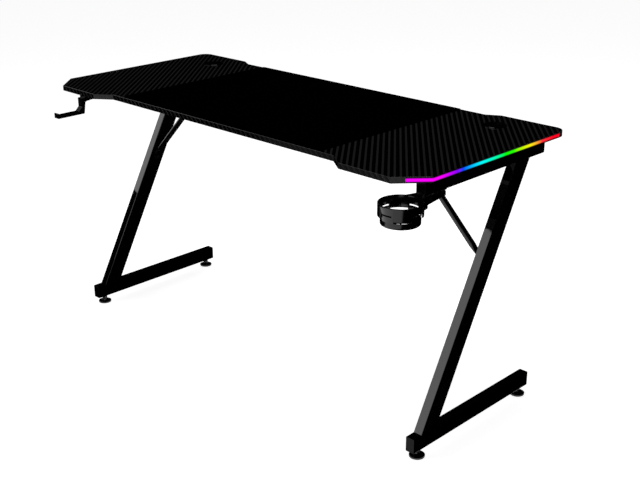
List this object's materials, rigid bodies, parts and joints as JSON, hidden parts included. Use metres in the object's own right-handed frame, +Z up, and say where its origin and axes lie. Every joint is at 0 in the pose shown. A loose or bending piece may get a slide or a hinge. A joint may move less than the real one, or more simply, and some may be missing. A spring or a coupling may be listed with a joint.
{
  "type": "gaming desk",
  "caption": "Gaming desk with a carbon-look board, lit edge strips, Z-shaped steel legs, a cup holder, a headset hook, cable grommets and levelling feet.",
  "frame": {"origin": "on the floor, under the middle of the whole desk's box, cup holder included", "axes": "+X to the user's right along the board, +Y to the rear edge, +Z up"},
  "size_m": [1.4, 0.629, 0.7375],
  "materials": {
    "board_laminate": "carbon-look textured laminate, satin",
    "mat_cloth": "fine knit cloth, matt",
    "light_diffuser": "milky, lit from behind in changing colours",
    "light_circuit": "white flexible circuit",
    "grommet_plastic": "satin moulded",
    "frame_paint": "satin black powder coat",
    "plug_plastic": "matt moulded",
    "bolt_steel": "blackened",
    "screw_steel": "zinc plated",
    "stud_steel": "zinc plated",
    "foot_rubber": "matt",
    "holder_plastic": "satin gloss moulded",
    "spacer_plastic": "matt moulded",
    "case_plastic": "fine textured moulded",
    "circuit_board": "solder-masked",
    "button_plastic": "satin moulded",
    "inlet_steel": "plated"
  },
  "bodies": {
    "desk": {"tabletop_board": "board_laminate", "mouse_mat": "mat_cloth", "right_light_diffuser": "light_diffuser", "left_light_diffuser": "light_diffuser", "right_light_strip": "light_circuit", "left_light_strip": "light_circuit", "right_grommet_ring": "grommet_plastic", "left_grommet_ring": "grommet_plastic", "right_top_beam": "frame_paint", "left_top_beam": "frame_paint", "right_foot_bar": "frame_paint", "left_foot_bar": "frame_paint", "right_leg": "frame_paint", "left_leg": "frame_paint", "crossbeam": "frame_paint", "crossbeam_flanges": "frame_paint", "right_brace": "frame_paint", "left_brace": "frame_paint", "right_tube_end_plugs": "plug_plastic", "left_tube_end_plugs": "plug_plastic", "frame_bolts": "bolt_steel", "brace_bolts": "bolt_steel", "cup_holder_screws": "bolt_steel", "hook_screws": "bolt_steel", "board_screws": "screw_steel", "controller_screws": "screw_steel", "foot_nuts": "stud_steel", "cup_holder": "holder_plastic", "headset_hook": "holder_plastic", "cup_holder_spacers": "spacer_plastic", "controller_base": "case_plastic", "controller_case": "case_plastic", "controller_circuit": "circuit_board", "power_inlet": "inlet_steel"},
    "right_cap": {"right_grommet_cap": "grommet_plastic"},
    "left_cap": {"left_grommet_cap": "grommet_plastic"},
    "button": {"mode_button": "button_plastic"},
    "right_front_stud": {"right_front_foot_stud": "stud_steel"},
    "right_front_pad": {"right_front_foot_pad": "foot_rubber"},
    "right_rear_stud": {"right_rear_foot_stud": "stud_steel"},
    "right_rear_pad": {"right_rear_foot_pad": "foot_rubber"},
    "left_front_stud": {"left_front_foot_stud": "stud_steel"},
    "left_front_pad": {"left_front_foot_pad": "foot_rubber"},
    "left_rear_stud": {"left_rear_foot_stud": "stud_steel"},
    "left_rear_pad": {"left_rear_foot_pad": "foot_rubber"}
  },
  "joints": [
    {"name": "right_cap_turn", "type": "hinge", "parent": "desk", "child": "right_cap", "pos_m": [0.548, 0.2205, 0.735], "axis": [0, 0, 1], "continuous": true},
    {"name": "left_cap_turn", "type": "hinge", "parent": "desk", "child": "left_cap", "pos_m": [-0.548, 0.2205, 0.735], "axis": [0, 0, 1], "continuous": true},
    {"name": "button_press", "type": "slide", "parent": "desk", "child": "button", "axis": [0, 1, 0], "range_m": [0, 0.0015], "stiffness_N_per_m": 900},
    {"name": "right_front_foot_level", "type": "slide", "parent": "desk", "child": "right_front_pad", "axis": [0, 0, -1], "range_m": [0, 0.01]},
    {"name": "right_front_stud_turn", "type": "hinge", "parent": "right_front_pad", "child": "right_front_stud", "pos_m": [0.658, -0.1895, 0.02], "axis": [0, 0, -1], "range_deg": [0, 2880]},
    {"name": "right_rear_foot_level", "type": "slide", "parent": "desk", "child": "right_rear_pad", "axis": [0, 0, -1], "range_m": [0, 0.01]},
    {"name": "right_rear_stud_turn", "type": "hinge", "parent": "right_rear_pad", "child": "right_rear_stud", "pos_m": [0.658, 0.2375, 0.02], "axis": [0, 0, -1], "range_deg": [0, 2880]},
    {"name": "left_front_foot_level", "type": "slide", "parent": "desk", "child": "left_front_pad", "axis": [0, 0, -1], "range_m": [0, 0.01]},
    {"name": "left_front_stud_turn", "type": "hinge", "parent": "left_front_pad", "child": "left_front_stud", "pos_m": [-0.658, -0.1895, 0.02], "axis": [0, 0, -1], "range_deg": [0, 2880]},
    {"name": "left_rear_foot_level", "type": "slide", "parent": "desk", "child": "left_rear_pad", "axis": [0, 0, -1], "range_m": [0, 0.01]},
    {"name": "left_rear_stud_turn", "type": "hinge", "parent": "left_rear_pad", "child": "left_rear_stud", "pos_m": [-0.658, 0.2375, 0.02], "axis": [0, 0, -1], "range_deg": [0, 2880]}
  ],
  "couplings": [
    {"joint": "right_front_foot_level", "follows": "right_front_stud_turn", "m_per_rad": 0.00019894},
    {"joint": "right_rear_foot_level", "follows": "right_rear_stud_turn", "m_per_rad": 0.00019894},
    {"joint": "left_front_foot_level", "follows": "left_front_stud_turn", "m_per_rad": 0.00019894},
    {"joint": "left_rear_foot_level", "follows": "left_rear_stud_turn", "m_per_rad": 0.00019894}
  ]
}
